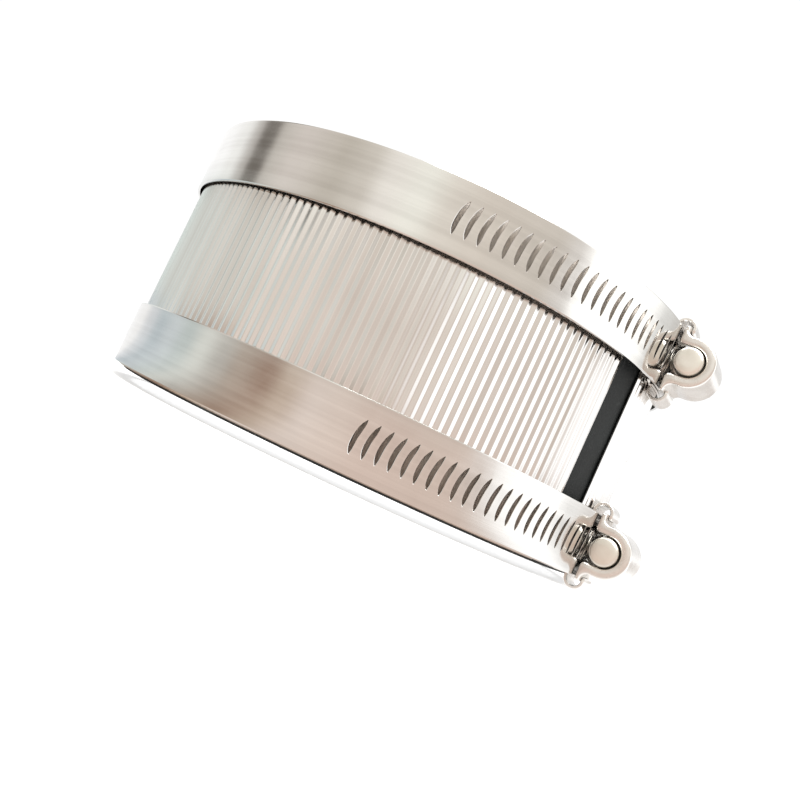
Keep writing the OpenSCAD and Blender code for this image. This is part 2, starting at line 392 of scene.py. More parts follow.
def soft_light(name, place, size, power):
    """Hangs one square soft light that faces the middle of the part."""
    data = bpy.data.lights.new(name, "AREA")
    data.size = size
    data.energy = power
    lamp = bpy.data.objects.new(name, data)
    aim = Vector((0, 0, sleeve_len / 2)) - Vector(place)
    lamp.location = place
    lamp.rotation_mode = "QUATERNION"
    lamp.rotation_quaternion = aim.to_track_quat("-Z", "Y")
    bpy.context.scene.collection.objects.link(lamp)


def pale_floor():
    """Lays a wide round floor just under the part's lowest point."""
    points = [Vector((0, 0, cad_low.z))]
    for i in range(floor_sides):
        angle = 2 * math.pi * i / floor_sides
        points.append(Vector((floor_radius * math.cos(angle), floor_radius * math.sin(angle), cad_low.z)))
    faces = [(0, 1 + i, 1 + (i + 1) % floor_sides) for i in range(floor_sides)]
    material, tree, shader = new_material("pale_floor")
    shader.inputs["Roughness"].default_value = floor_rough
    shader.inputs["Specular IOR Level"].default_value = 0
    shader.inputs["Emission Strength"].default_value = 1.0
    where = tree.nodes.new("ShaderNodeNewGeometry")
    panels = place_group(tree, studio_panels)
    tree.links.new(where.outputs["Position"], panels.inputs["Direction"])
    sight = tree.nodes.new("ShaderNodeLightPath")
    mirrored = sight.outputs["Is Glossy Ray"]
    base = mix_colour(tree, mirrored, floor_white, (0.0, 0.0, 0.0))
    tree.links.new(base, shader.inputs["Base Color"])
    glow = mix_colour(tree, mirrored, floor_glow, panels.outputs["Colour"])
    tree.links.new(glow, shader.inputs["Emission Color"])
    make_piece("floor", points, faces, material)


# ---------------------------------------------------------------- node helpers
def mix_colour(tree, share, first, second):
    """Mixes two colours, each a socket or three numbers, and gives the result's socket."""
    mix = tree.nodes.new("ShaderNodeMix")
    mix.data_type = "RGBA"
    # a mix node's colour sockets are its seventh and eighth inputs and its third output
    tree.links.new(share, mix.inputs[0])
    for socket, colour in ((mix.inputs[6], first), (mix.inputs[7], second)):
        if isinstance(colour, tuple):
            socket.default_value = (*colour, 1)
        else:
            tree.links.new(colour, socket)
    return mix.outputs[2]


def spread(tree, value, low, high, to_low, to_high):
    """Maps a value's range from low..high to to_low..to_high and gives its socket."""
    node = tree.nodes.new("ShaderNodeMapRange")
    for name, number in (
        ("From Min", low), ("From Max", high), ("To Min", to_low), ("To Max", to_high),
    ):
        node.inputs[name].default_value = number
    tree.links.new(value, node.inputs["Value"])
    return node.outputs["Result"]


def combine(tree, operation, first, second):
    """Joins two values, each a socket or a number, by one math step."""
    node = tree.nodes.new("ShaderNodeMath")
    node.operation = operation
    for socket, value in zip(node.inputs, (first, second)):
        if isinstance(value, (int, float)):
            socket.default_value = value
        else:
            tree.links.new(value, socket)
    return node.outputs["Value"]


def weighted(tree, *parts):
    """The sum of several values, each a socket with its weight."""
    total = None
    for socket, weight in parts:
        scaled = combine(tree, "MULTIPLY", socket, weight)
        total = scaled if total is None else combine(tree, "ADD", total, scaled)
    return total


def noise(tree, vector, scale, detail):
    """One noise texture's value."""
    node = tree.nodes.new("ShaderNodeTexNoise")
    node.inputs["Scale"].default_value = scale
    node.inputs["Detail"].default_value = detail
    tree.links.new(vector, node.inputs["Vector"])
    return node.outputs["Fac"]


# the middle of a noise's range, which holds nearly all of its change
noise_span = (0.35, 0.65)

# drawn lines: scale and detail of the fine ones and of the broad streaks
fine_lines = (1.0, 3.0)
broad_streaks = (0.13, 2.0)

# handling marks: the clouds' detail, and the scratches' slant, stretch and width
cloud_detail = 4
scratch_slant = (0.5, 0.3, 0.8)
scratch_stretch = (1.0, 0.12, 1.0)
scratch_width = 0.012

# how soon past the reach an edge is fully worn
edge_fade = 0.08


def effect_group(name, inputs, outputs):
    """Starts a shared node group with its named sockets."""
    group = bpy.data.node_groups.new(name, "ShaderNodeTree")
    for label, kind, value in inputs:
        socket = group.interface.new_socket(name=label, in_out="INPUT", socket_type=kind)
        socket.default_value = value
    for label in outputs:
        group.interface.new_socket(name=label, in_out="OUTPUT", socket_type="NodeSocketFloat")
    return group, group.nodes.new("NodeGroupInput"), group.nodes.new("NodeGroupOutput")


def grain_group():
    """Fine drawn lines. Lines holds how often they change per metre along X, Y and Z."""
    group, start, end = effect_group(
        "drawn_grain",
        [("Lines", "NodeSocketVector", (60, 60, 9000))],
        ["Height", "Streaks"],
    )
    where = group.nodes.new("ShaderNodeTexCoord")
    squeeze = group.nodes.new("ShaderNodeVectorMath")
    squeeze.operation = "MULTIPLY"
    group.links.new(where.outputs["Object"], squeeze.inputs[0])
    group.links.new(start.outputs["Lines"], squeeze.inputs[1])
    fine = noise(group, squeeze.outputs["Vector"], *fine_lines)
    broad = noise(group, squeeze.outputs["Vector"], *broad_streaks)
    group.links.new(fine, end.inputs["Height"])
    group.links.new(spread(group, broad, *noise_span, 0, 1), end.inputs["Streaks"])
    return group


def handling_group():
    """Broad clouds from handling and thin crossing scratches."""
    group, start, end = effect_group(
        "handling_marks",
        [("Clouds", "NodeSocketFloat", 90.0), ("Scratches", "NodeSocketFloat", 260.0)],
        ["Clouds", "Scratches"],
    )
    where = group.nodes.new("ShaderNodeTexCoord")
    cloud = group.nodes.new("ShaderNodeTexNoise")
    cloud.inputs["Detail"].default_value = cloud_detail
    group.links.new(where.outputs["Object"], cloud.inputs["Vector"])
    group.links.new(start.outputs["Clouds"], cloud.inputs["Scale"])
    group.links.new(spread(group, cloud.outputs["Fac"], *noise_span, 0, 1), end.inputs["Clouds"])
    bent = group.nodes.new("ShaderNodeVectorRotate")
    bent.rotation_type = "EULER_XYZ"
    bent.inputs["Rotation"].default_value = scratch_slant
    group.links.new(where.outputs["Object"], bent.inputs["Vector"])
    thin = group.nodes.new("ShaderNodeVectorMath")
    thin.operation = "MULTIPLY"
    thin.inputs[1].default_value = scratch_stretch
    group.links.new(bent.outputs["Vector"], thin.inputs[0])
    cells = group.nodes.new("ShaderNodeTexVoronoi")
    cells.feature = "DISTANCE_TO_EDGE"
    group.links.new(thin.outputs["Vector"], cells.inputs["Vector"])
    group.links.new(start.outputs["Scratches"], cells.inputs["Scale"])
    line = spread(group, cells.outputs["Distance"], 0, scratch_width, 1, 0)
    group.links.new(line, end.inputs["Scratches"])
    return group


def edge_group():
    """Marks convex edges, where handling brightens metal and rubs rubber grey."""
    group, start, end = effect_group(
        "worn_edges",
        [("Reach", "NodeSocketFloat", 0.53)],
        ["Edges"],
    )
    shape = group.nodes.new("ShaderNodeNewGeometry")
    above = combine(group, "SUBTRACT", shape.outputs["Pointiness"], start.outputs["Reach"])
    group.links.new(spread(group, above, 0, edge_fade, 0, 1), end.inputs["Edges"])
    return group


def place_group(tree, group, **values):
    """Places a shared effect in a material with that material's own values."""
    node = tree.nodes.new("ShaderNodeGroup")
    node.node_tree = group
    for name, value in values.items():
        node.inputs[name].default_value = value
    return node


def new_material(name):
    """Starts a material and gives it, its tree and its own Principled shader."""
    material = bpy.data.materials.new(name)
    material.use_nodes = True
    shader = material.node_tree.nodes["Principled BSDF"]
    return material, material.node_tree, shader


def bump(tree, shader, height, distance):
    """Feeds a height into the shader's normal."""
    node = tree.nodes.new("ShaderNodeBump")
    node.inputs["Strength"].default_value = 1
    node.inputs["Distance"].default_value = distance
    tree.links.new(height, node.inputs["Height"])
    tree.links.new(node.outputs["Normal"], shader.inputs["Normal"])


# ---------------------------------------------------------------- materials
worn_steel = (0.93, 0.92, 0.90)
# painted shade: the shield's colour where the bands cover it, and its rougher finish there
painted_shade_steel = (0.50, 0.46, 0.42)
covered_rough = (0.45, 0.45, 0.45)
scratch_depth = -0.12


def steel(name, dark, light, lines, relief, rough, clouds):
    """Stainless steel: drawn lines, handling clouds, fine scratches and brighter edges."""
    material, tree, shader = new_material(name)
    grain = place_group(tree, drawn_grain, Lines=lines)
    marks = place_group(tree, handling_marks, Clouds=clouds)
    edges = place_group(tree, worn_edges)
    streaks = grain.outputs["Streaks"]
    shade = weighted(tree, (streaks, 0.6), (marks.outputs["Clouds"], 0.4))
    colour = mix_colour(tree, shade, dark, light)
    colour = mix_colour(tree, edges.outputs["Edges"], colour, worn_steel)
    tree.links.new(colour, shader.inputs["Base Color"])
    scratches = marks.outputs["Scratches"]
    matt = weighted(tree, (streaks, 0.3), (marks.outputs["Clouds"], 0.5), (scratches, 0.2))
    tree.links.new(spread(tree, matt, 0, 1, rough[0], rough[1]), shader.inputs["Roughness"])
    shader.inputs["Metallic"].default_value = 1
    height = weighted(tree, (scratches, scratch_depth), (grain.outputs["Height"], 1))
    bump(tree, shader, height, relief)
    return material


def band_steel():
    """Strip with its grain drawn along the band, round the bore."""
    return steel(
        "brushed_band_steel", (0.70, 0.685, 0.665), (0.83, 0.82, 0.80),
        (50, 50, 6000), 0.0014 * mm, (0.07, 0.17), 110.0,
    )


def painted_shade_under_bands(tree):
    """A mask of the two zones of the shield's outer face that the bands cover, where the steel gets
    painted shade.
    """
    where = tree.nodes.new("ShaderNodeTexCoord")
    split = tree.nodes.new("ShaderNodeSeparateXYZ")
    tree.links.new(where.outputs["Object"], split.inputs["Vector"])
    offset = combine(tree, "SUBTRACT", split.outputs["Z"], sleeve_len / 2)
    away = combine(tree, "ABSOLUTE", offset, 0)
    near = sleeve_len / 2 - clamps["lower"] - band_w / 2
    # the painted shade fades in just inside each band's inner edge and runs out to the shield's end
    shade_from = near + 0.3 * mm
    shade_to = near + 0.9 * mm
    zone = spread(tree, away, shade_from, shade_to, 0, 1)
    facing = tree.nodes.new("ShaderNodeVectorMath")
    facing.operation = "DOT_PRODUCT"
    tree.links.new(where.outputs["Object"], facing.inputs[0])
    tree.links.new(where.outputs["Normal"], facing.inputs[1])
    return combine(tree, "MULTIPLY", zone, combine(tree, "GREATER_THAN", facing.outputs["Value"], 0))


def shield_steel():
    """Thin bright sheet with its grain along the folds, with painted shade and a rougher finish where the
    bands cover it.
    """
    material = steel(
        "folded_sheet_steel", (0.74, 0.72, 0.70), (0.86, 0.85, 0.84),
        (2600, 2600, 60), 0.0014 * mm, (0.08, 0.18), 45.0,
    )
    tree = material.node_tree
    shader = tree.nodes["Principled BSDF"]
    # the colour turns to painted shade under the bands, and the roughness rises there
    painted_shade_zone = painted_shade_under_bands(tree)
    for name, shade_and_matt in (("Base Color", painted_shade_steel), ("Roughness", covered_rough)):
        bright = shader.inputs[name].links[0].from_socket
        tree.links.new(mix_colour(tree, painted_shade_zone, bright, shade_and_matt), shader.inputs[name])
    return material


def pressed_steel():
    """Pressed plate, satin from tumbling."""
    return steel(
        "pressed_housing_steel", (0.76, 0.73, 0.70), (0.92, 0.90, 0.87),
        (1500, 1500, 1500), 0.006 * mm, (0.20, 0.36), 160.0,
    )


def plated_steel():
    """Warm bright plating on the screws and rivets."""
    return steel(
        "plated_screw_steel", (0.84, 0.81, 0.74), (0.97, 0.95, 0.89),
        (1800, 1800, 1800), 0.003 * mm, (0.26, 0.42), 220.0,
    )


def moulded_rubber():
    """Black moulded rubber: fine skin, dusty clouds and edges rubbed grey."""
    material, tree, shader = new_material("moulded_black_rubber")
    grain = place_group(tree, drawn_grain, Lines=(3500, 3500, 3500))
    marks = place_group(tree, handling_marks, Clouds=120.0, Scratches=400.0)
    edges = place_group(tree, worn_edges, Reach=0.52)
    colour = mix_colour(tree, marks.outputs["Clouds"], (0.008, 0.009, 0.009), (0.017, 0.019, 0.019))
    dusty = combine(tree, "MULTIPLY", marks.outputs["Scratches"], 0.25)
    colour = mix_colour(tree, dusty, colour, (0.045, 0.050, 0.050))
    colour = mix_colour(tree, edges.outputs["Edges"], colour, (0.036, 0.041, 0.041))
    tree.links.new(colour, shader.inputs["Base Color"])
    rough = spread(tree, marks.outputs["Clouds"], 0, 1, 0.55, 0.72)
    tree.links.new(rough, shader.inputs["Roughness"])
    shader.inputs["Specular IOR Level"].default_value = 0.22
    bump(tree, shader, grain.outputs["Height"], 0.02 * mm)
    return material


# ---------------------------------------------------------------- mesh helpers
# angles in degrees between faces past which an edge stays sharp
soft_crease = 32.0
fold_crease = 50.0
plate_crease = 40.0
thread_crease = 28.0


def make_piece(name, points, faces, material, crease=soft_crease):
    """Makes a smooth-shaded object, with sharp edges where faces meet at more than crease degrees."""
    mesh = bpy.data.meshes.new(name)
    mesh.from_pydata([tuple(p) for p in points], [], faces)
    work = bmesh.new()
    work.from_mesh(mesh)
    bmesh.ops.recalc_face_normals(work, faces=work.faces)
    work.to_mesh(mesh)
    work.free()
    mesh.polygons.foreach_set("use_smooth", [True] * len(mesh.polygons))
    mesh.set_sharp_from_angle(angle=math.radians(crease))
    mesh.materials.append(material)
    piece = bpy.data.objects.new(name, mesh)
    bpy.context.scene.collection.objects.link(piece)
    return piece


def loft(loops, ring=False):
    """Skins closed loops that hold equally many points. In an open loft, each end is closed by a
    strip between the loop's first half and its second, which runs back beside it."""
    count = len(loops[0])
    points = [p for loop in loops for p in loop]
    faces = []
    for i in range(len(loops) if ring else len(loops) - 1):
        here = i * count
        there = (i + 1) % len(loops) * count
        for k in range(count):
            after = (k + 1) % count
            faces.append((here + k, here + after, there + after, there + k))
    if not ring:
        for start in (0, (len(loops) - 1) * count):
            for k in range(count // 2 - 1):
                back = start + count - 1 - k
                faces.append((start + k, start + k + 1, back - 1, back))
    return points, faces


def turned(profile, steps):
    """Turns a profile of (radius, height) pairs round +Z. Its first and last radius are 0."""
    points = [Vector((0, 0, profile[0][1])), Vector((0, 0, profile[-1][1]))]
    rings = profile[1:-1]
    for radius, height in rings:
        for i in range(steps):
            angle = 2 * math.pi * i / steps
            points.append(Vector((radius * math.cos(angle), radius * math.sin(angle), height)))
    faces = []
    last = 2 + (len(rings) - 1) * steps
    for i in range(steps):
        after = (i + 1) % steps
        faces.append((0, 2 + after, 2 + i))
        faces.append((1, last + i, last + after))
        for k in range(len(rings) - 1):
            here = 2 + k * steps
            faces.append((here + i, here + after, here + steps + after, here + steps + i))
    return points, faces


def rounded(outline, radius, steps):
    """Rounds the inner corners of an open 2-D outline by that radius, or less where a side is short."""
    most = 0.45
    result = []
    for i, corner in enumerate(outline):
        if i in (0, len(outline) - 1):
            result.append(corner)
            continue
        here = Vector(corner)
        before = Vector(outline[i - 1]) - here
        after = Vector(outline[i + 1]) - here
        reach = min(radius, most * before.length, most * after.length)
        first = here + before.normalized() * reach
        last = here + after.normalized() * reach
        for k in range(steps + 1):
            t = k / steps
            result.append(tuple((1 - t) ** 2 * first + 2 * t * (1 - t) * here + t * t * last))
    return result


def joined(*shells):
    """Puts several shells' points and faces into one."""
    points = []
    faces = []
    for shell_points, shell_faces in shells:
        start = len(points)
        points += shell_points
        faces += [tuple(start + k for k in face) for face in shell_faces]
    return points, faces


def settle(piece):
    """Turns the piece's modifiers into mesh."""
    graph = bpy.context.evaluated_depsgraph_get()
    mesh = bpy.data.meshes.new_from_object(piece.evaluated_get(graph))
    piece.modifiers.clear()
    piece.data = mesh


def stand_for(piece, node, body):
    """Hangs a rigid piece on its body in place of a CAD node."""
    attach(piece, body)
    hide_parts(node)


# ---------------------------------------------------------------- rubber sleeve
def sleeve_half_wall():
    """The sleeve's section from its middle plane outside, round the mouth, to the stop inside."""
    half = sleeve_len / 2
    step = (half - stop_width / 2 - last_land - first_groove) / groove_count
    outline = [(sleeve_r, half), (sleeve_r, 0), (bore_r, 0), (bore_r, first_groove)]
    wall = rounded(outline, mouth_round, 5)[:-1]
    for i in range(groove_count):
        low = first_groove + step * i
        wall += rounded([
            (bore_r, low - groove_lead),
            (bore_r, low),
            (bore_r + groove_depth, low + groove_depth / 2),
            (bore_r + groove_depth, low + groove_width - groove_depth / 2),
            (bore_r, low + groove_width),
            (bore_r, low + groove_width + groove_lead),
        ], groove_round, 3)
    wall += rounded([
        (bore_r, half - stop_width / 2 - stop_lead),
        (bore_r, half - stop_width / 2 - stop_chamfer),
        (bore_r - stop_chamfer, half - stop_width / 2),
        (bore_r - stop_height, half - stop_width / 2 + stop_ease),
        (bore_r - stop_height, half),
    ], stop_round, 4)
    return wall


def rubber_sleeve():
    """The sleeve's section, the same below and above its middle, turned round the bore."""
    lower = sleeve_half_wall()
    upper = [(r, sleeve_len - z) for r, z in reversed(lower[1:-1])]
    section = lower + upper
    steps = 240
    loops = []
    for i in range(steps):
        angle = 2 * math.pi * i / steps
        loops.append([Vector((r * math.cos(angle), r * math.sin(angle), z)) for r, z in section])
    piece = make_piece("rubber_sleeve", *loft(loops, ring=True), moulded_rubber())
    stand_for(piece, "sleeve", "sleeve")


# ---------------------------------------------------------------- corrugated shield
def shield_outline():
    """The folded sheet's inner line: crests and valleys, each a little off its even place."""
    turn = 2 * math.pi - gap_angle
    halves = 2 * int(fold_count * turn / (2 * math.pi))
    start = gap_middle + gap_angle / 2
    low = shield_out - fold_height + fold_ease
    high = shield_out - sheet
    unevenness = 0.05
    sag = 0.03 * mm
    straightness = 0.8
    keys = []
    for i in range(halves + 1):
        free = 0 < i < halves
        shift = chance.uniform(-unevenness, unevenness) if free else 0
        sink = chance.uniform(0, sag) if free else 0
        radius = high - sink if i % 2 else low + sink
        keys.append((start + turn * (i + shift) / halves, radius))
    samples = 8
    line = []
    for (a0, r0), (a1, r1) in zip(keys, keys[1:]):
        for k in range(samples):
            t = k / samples
            ease = straightness * t + (1 - straightness) * t * t * (3 - 2 * t)
            line.append((a0 + (a1 - a0) * t, r0 + (r1 - r0) * ease))
    line.append(keys[-1])
    return line


def corrugated_shield(material):
    """The folded sheet, its two ends eased, open at the gap."""
    line = shield_outline()
    length = shield_high.z - shield_low.z
    spans = 6
    stations = [(0, sheet_edge), (sheet_edge, 0)]
    stations += [(length * k / spans, 0) for k in range(1, spans)]
    stations += [(length - sheet_edge, 0), (length, sheet_edge)]
    loops = []
    for height, thin in stations:
        z = shield_low.z + height
        outer = [(a, r + sheet - thin) for a, r in line]
        inner = [(a, r + thin) for a, r in reversed(line)]
        loops.append([Vector((r * math.cos(a), r * math.sin(a), z)) for a, r in outer + inner])
    piece = make_piece("corrugated_shield", *loft(loops), material, fold_crease)
    stand_for(piece, "shield", "shield_assembly")


# ---------------------------------------------------------------- bands
# rows of points across the band: along each slot's length, and outside it on each side
row_steps = 8
edge_rows = 6
slot_rows = [2 * k / row_steps - 1 for k in range(row_steps + 1)]


def band_rows():
    """Across the band: (place across, place through) round the whole section, outer face first."""
    side = band_w / 2
    near = band_edge * edge_diagonal
    edge = [(side, band_edge), (side - near, near), (side - band_edge, 0)]
    flat = side - band_edge - slot_len / 2
    beside_edge = 1.3 * band_edge
    margin = [(side - beside_edge, 0)]
    margin += [(slot_len / 2 + flat * share, 0) for share in (0.7, 0.4)]
    face = [(t * (slot_len / 2 + slot_rim), 0) for t in slot_rows]
    outside = edge + margin
    half = [(-v, depth) for v, depth in outside] + face + [(v, depth) for v, depth in reversed(outside)]
    outer = [(v, band_t - depth) for v, depth in half]
    inner = [(v, depth) for v, depth in reversed(half)]
    return outer + inner


def strap_point(u, v, h):
    """A point of the strap: u along it from the screw's middle, v across, h out from its inner face."""
    if u > u_bend:
        centre, radius, angle = pivot_x, tail_r, u / tail_r
    elif u > u_pivot:
        centre, radius, angle = strap_cx, strap_r, bend_angle + (u - u_bend) / strap_r
    else:
        centre, radius, angle = fixed_cx, fixed_r, (u - u_pivot) / fixed_r - math.pi
    reach = radius + h
    return Vector((centre + reach * math.cos(angle), reach * math.sin(angle), v))


def tail_trim(u, v):
    """Draws the band's edges in at the clipped corners of the tail."""
    cut = max(0.0, u - (tail_len - tail_clip))
    if abs(v) <= slot_len / 2 + slot_rim:
        return v
    return v - math.copysign(cut, v)


def slot_side(t, side, rim):
    """How far along the strap a slot's side lies from the slot's middle, at share t of its length."""
    middle = -slot_bow * (1 - t * t) + slot_bow / 2 + t * slot_len / 2 * math.tan(slot_lead)
    half = slot_tip + (slot_w / 2 - slot_tip) * (1 - t ** 4)
    return middle + side * (half + rim)


def slot_column(u, side, rows):
    """A column of the strap's points that follows one side of a slot and runs on to both edges."""
    reach = slot_len / 2 + slot_rim
    column = []
    for v, h in rows:
        t = max(-1.0, min(1.0, v / reach))
        fade = 1 - max(0.0, abs(v) - reach) / (band_w / 2 - reach)
        along = fade * slot_side(t, side, slot_rim) + (1 - fade) * side * slot_w / 2
        column.append((u + along, v, h))
    return column


def slot_wall(u, depth, side_rows):
    """The slot's wall at one depth, up one side and down the other."""
    wall = []
    for side in (-1, 1):
        rows = side_rows if side < 0 else list(reversed(side_rows))
        wall += [(u + slot_side(t, side, 0), t * slot_len / 2, depth) for t in rows]
    return wall


def strap_mesh():
    """The slotted strap, flat: its points as (along, across, through) and its faces."""
    rows = band_rows()
    half = len(rows) // 2
    span = range(edge_rows, edge_rows + row_steps)
    plain_end = (first_slot - 0.5) * pitch
    plain_steps = 180
    columns = []
    for k in range(plain_steps):
        u = u_seam + (plain_end - u_seam) * k / plain_steps
        columns.append([(u, v, h) for v, h in rows])
    slots = {}
    for i in range(first_slot, last_slot + 1):
        u = i * pitch
        columns.append([(u - pitch / 2, v, h) for v, h in rows])
        slots[len(columns)] = u
        columns.append(slot_column(u, -1, rows))
        columns.append(slot_column(u, 1, rows))
    columns.append([((last_slot + 0.5) * pitch, v, h) for v, h in rows])
    columns.append([(tail_len - tail_edge, v, h) for v, h in rows])
    squeezed = [(v, min(max(h, tail_edge), band_t - tail_edge)) for v, h in rows]
    columns.append([(tail_len, v, h) for v, h in squeezed])
    points, faces = loft(columns)
    holes = set()
    for c in slots:
        for k in span:
            holes.add((c, k))
            holes.add((c, 2 * half - 2 - k))
    count = 2 * half
    sides = [f for n, f in enumerate(faces[:(len(columns) - 1) * count])
             if (n // count, n % count) not in holes]
    faces = sides + faces[(len(columns) - 1) * count:]
    for c, u in slots.items():
        up = [c * count + k for k in range(edge_rows, edge_rows + row_steps + 1)]
        down = [(c + 1) * count + k for k in reversed(range(edge_rows, edge_rows + row_steps + 1))]
        top = up + down
        flip = {k: (k // count) * count + count - 1 - k % count for k in top}
        rings = [top]
        for depth in (band_t - slot_rim, slot_rim):
            start = len(points)
            points += slot_wall(u, depth, slot_rows)
            rings.append(list(range(start, len(points))))
        rings.append([flip[k] for k in top])
        for first, second in zip(rings, rings[1:]):
            for k in range(len(first)):
                after = (k + 1) % len(first)
                faces.append((first[k], first[after], second[after], second[k]))
    return points, faces


def fixed_band(side, z, material):
    """The plain half of the band, from under the housing to the seam beside the rivet."""
    rows = band_rows()
    start = math.asin((under_housing - housing_len / 2) / fixed_r)
    steps = 80
    loops = []
    for k in range(steps + 1):
        angle = start + (seam_angle - start) * k / steps
        loops.append([
            Vector((fixed_cx + (fixed_r + h) * math.cos(angle), (fixed_r + h) * math.sin(angle), z + v))
            for v, h in rows
        ])
    piece = make_piece(side + "_fixed_band", *loft(loops), material)
    stand_for(piece, side + "_anchor_band", "shield_assembly")


def strap(side, z, material):
    """The slotted half, which bends beside the rivet and slides through the housing."""
    flat, faces = strap_mesh()
    points = [strap_point(u, tail_trim(u, v), h) + Vector((0, 0, z)) for u, v, h in flat]
    piece = make_piece(side + "_slotted_strap", points, faces, material)
    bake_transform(piece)
    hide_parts(side + "_slotted_band")


# ---------------------------------------------------------------- housing
# steps along each part of the housing's plate, which its two lines share
flare_steps = 8
leg_steps = 3
arch_steps = 28


def half_round(radius):
    """The top of the housing's line, from one side over to the other."""
    angles = [math.pi * k / arch_steps for k in range(arch_steps + 1)]
    return [(radius * math.cos(a), radius * math.sin(a)) for a in angles]


def housing_path(arch, flare_r, low_y, inset):
    """One side of the housing's plate from wing to wing, drawn as arcs round the screw's middle."""
    right = [(wing_end - inset, low_y), (flare_x, low_y)]
    for k in range(1, flare_steps):
        angle = -math.pi / 2 - math.pi / 2 * k / flare_steps
        right.append((flare_x + flare_r * math.cos(angle), flare_y + flare_r * math.sin(angle)))
    right += [(arch, flare_y * k / leg_steps) for k in range(leg_steps, 0, -1)]
    left = [(-x, y) for x, y in reversed(right)]
    return right + half_round(arch) + left


def lip_path(radius, inset):
    """The inner line of a necked end, with as many points as housing_path."""
    right = [(wing_end - inset, wing_low + inset), (flare_x, wing_low + inset)]
    turn_from = 0.625
    for k in range(1, flare_steps):
        t = k / flare_steps
        x = flare_x + (radius + lip_corner - flare_x) * min(1.0, t / turn_from)
        y = wing_low + inset
        if t > turn_from:
            turn = math.pi / 2 * (t - turn_from) / (1 - turn_from)
            x = radius + lip_corner * (1 - math.sin(turn))
            y = wing_low + inset + lip_corner * (1 - math.cos(turn))
        right.append((x, y))
    low = wing_low + inset + lip_corner
    right += [(radius, low - low * k / leg_steps) for k in range(leg_steps)]
    left = [(-x, y) for x, y in reversed(right)]
    return right + half_round(radius) + left


def blended(first, second, share):
    """A line part of the way from one line to another."""
    return [
        (x0 + (x1 - x0) * share, y0 + (y1 - y0) * share)
        for (x0, y0), (x1, y1) in zip(first, second)
    ]


def housing_stations():
    """(place along the screw, rounding outside, radius of the neck, share of the neck)"""
    half = housing_len / 2
    ends = [
        (0.0, 0.55, 0.40, 1), (0.08, 0.30, 0.18, 1), (0.25, 0.12, 0.05, 1),
        (0.50, 0.03, 0.0, 1), (0.80, 0.0, 0.0, 1), (1.05, 0.0, 0.0, 0.9),
        (1.30, 0.0, 0.0, 0.5), (1.60, 0.0, 0.0, 0.1), (1.90, 0.0, 0.0, 0),
    ]
    front = [(-half + s * mm, inset * mm, lip_r + wide * mm, share) for s, inset, wide, share in ends]
    rear = [(half - s * mm, inset * mm, collar_r + wide * mm, share) for s, inset, wide, share in ends]
    return front + [(0, 0, lip_r, 0)] + list(reversed(rear))


def screw_housing(side, z, material):
    """The pressed arch over the screw, with necked ends and a wing along each foot."""
    loops = []
    for s, inset, neck, share in housing_stations():
        outer = housing_path(arch_out - inset, flare + inset, wing_low + housing_t - inset, inset)
        plain = housing_path(arch_in, flare + housing_t, wing_low + inset, inset)
        inner = blended(plain, lip_path(neck, inset), share)
        line = outer + list(reversed(inner))
        loops.append([Vector((screw_x + y, s, z + x)) for x, y in line])
    piece = make_piece(side + "_screw_housing", *loft(loops), material, plate_crease)
    stand_for(piece, side + "_housing", "shield_assembly")


# ---------------------------------------------------------------- saddle
def saddle_path():
    """Half of the saddle's middle line: (across, out, normal across, normal out, half width, curve)."""
    fold_low = saddle_in + saddle_t / 2
    lip = wing_under + housing_t + 0.05 * mm + saddle_t / 2
    fold_r = (lip - fold_low) / 2
    fold_x = (lip + fold_low) / 2
    fold_z = saddle_high.z - clamps["lower"] - fold_r - saddle_t / 2
    base = housing_len / 2 - 0.5 * mm
    tab = tab_len / 2
    path = [(fold_z * k / 4, fold_low, 0, 1, base, 1.0) for k in range(3)]
    for back, width, curve in (
        (1.3, base, 1.0), (1.1, base - 0.3 * mm, 1.0), (0.9, tab + 0.4 * mm, 0.9), (0.6, tab, 0.8),
    ):
        path.append((fold_z - back * mm, fold_low, 0, 1, width, curve))
    fold_steps = 10
    for k in range(fold_steps + 1):
        angle = math.pi * k / fold_steps - math.pi / 2
        across, out = math.cos(angle), math.sin(angle)
        path.append((
            fold_z + fold_r * across, fold_x + fold_r * out, -across, -out, tab, 0.6 - 0.06 * k,
        ))
    reach = 0.9 * mm
    path.append((fold_z - reach * 0.6, lip, 0, -1, tab, 0))
    path.append((fold_z - reach, lip + 0.05 * mm, 0, -1, tab - 0.3 * mm, 0))
    return path


def saddle_plate(side, z, material):
    """The plate under the bands, folded up and over the housing's wings at both edges."""
    half = saddle_path()
    mirrored = [(-a, o, -na, no, w, c) for a, o, na, no, w, c in reversed(half[1:])]
    edge = 0.15 * mm
    loops = []
    last = len(half) + len(mirrored) - 1
    for i, (across, out, n_across, n_out, width, curve) in enumerate(mirrored + half):
        thick = saddle_t / 2 - (edge if i in (0, last) else 0)
        top = [(-width, thick - edge), (-width + edge, thick)]
        top += [(width * k / 4, thick) for k in range(-3, 4)]
        top += [(width - edge, thick), (width, thick - edge)]
        ring = top + [(y, -h) for y, h in reversed(top)]
        loop = []
        for y, h in ring:
            drop = curve * (out - math.sqrt(out * out - y * y))
            loop.append(Vector((out + n_out * h - drop, y, z + across + n_across * h)))
        loops.append(loop)
    piece = make_piece(side + "_saddle_plate", *loft(loops), material, plate_crease)
    stand_for(piece, side + "_saddle", "shield_assembly")


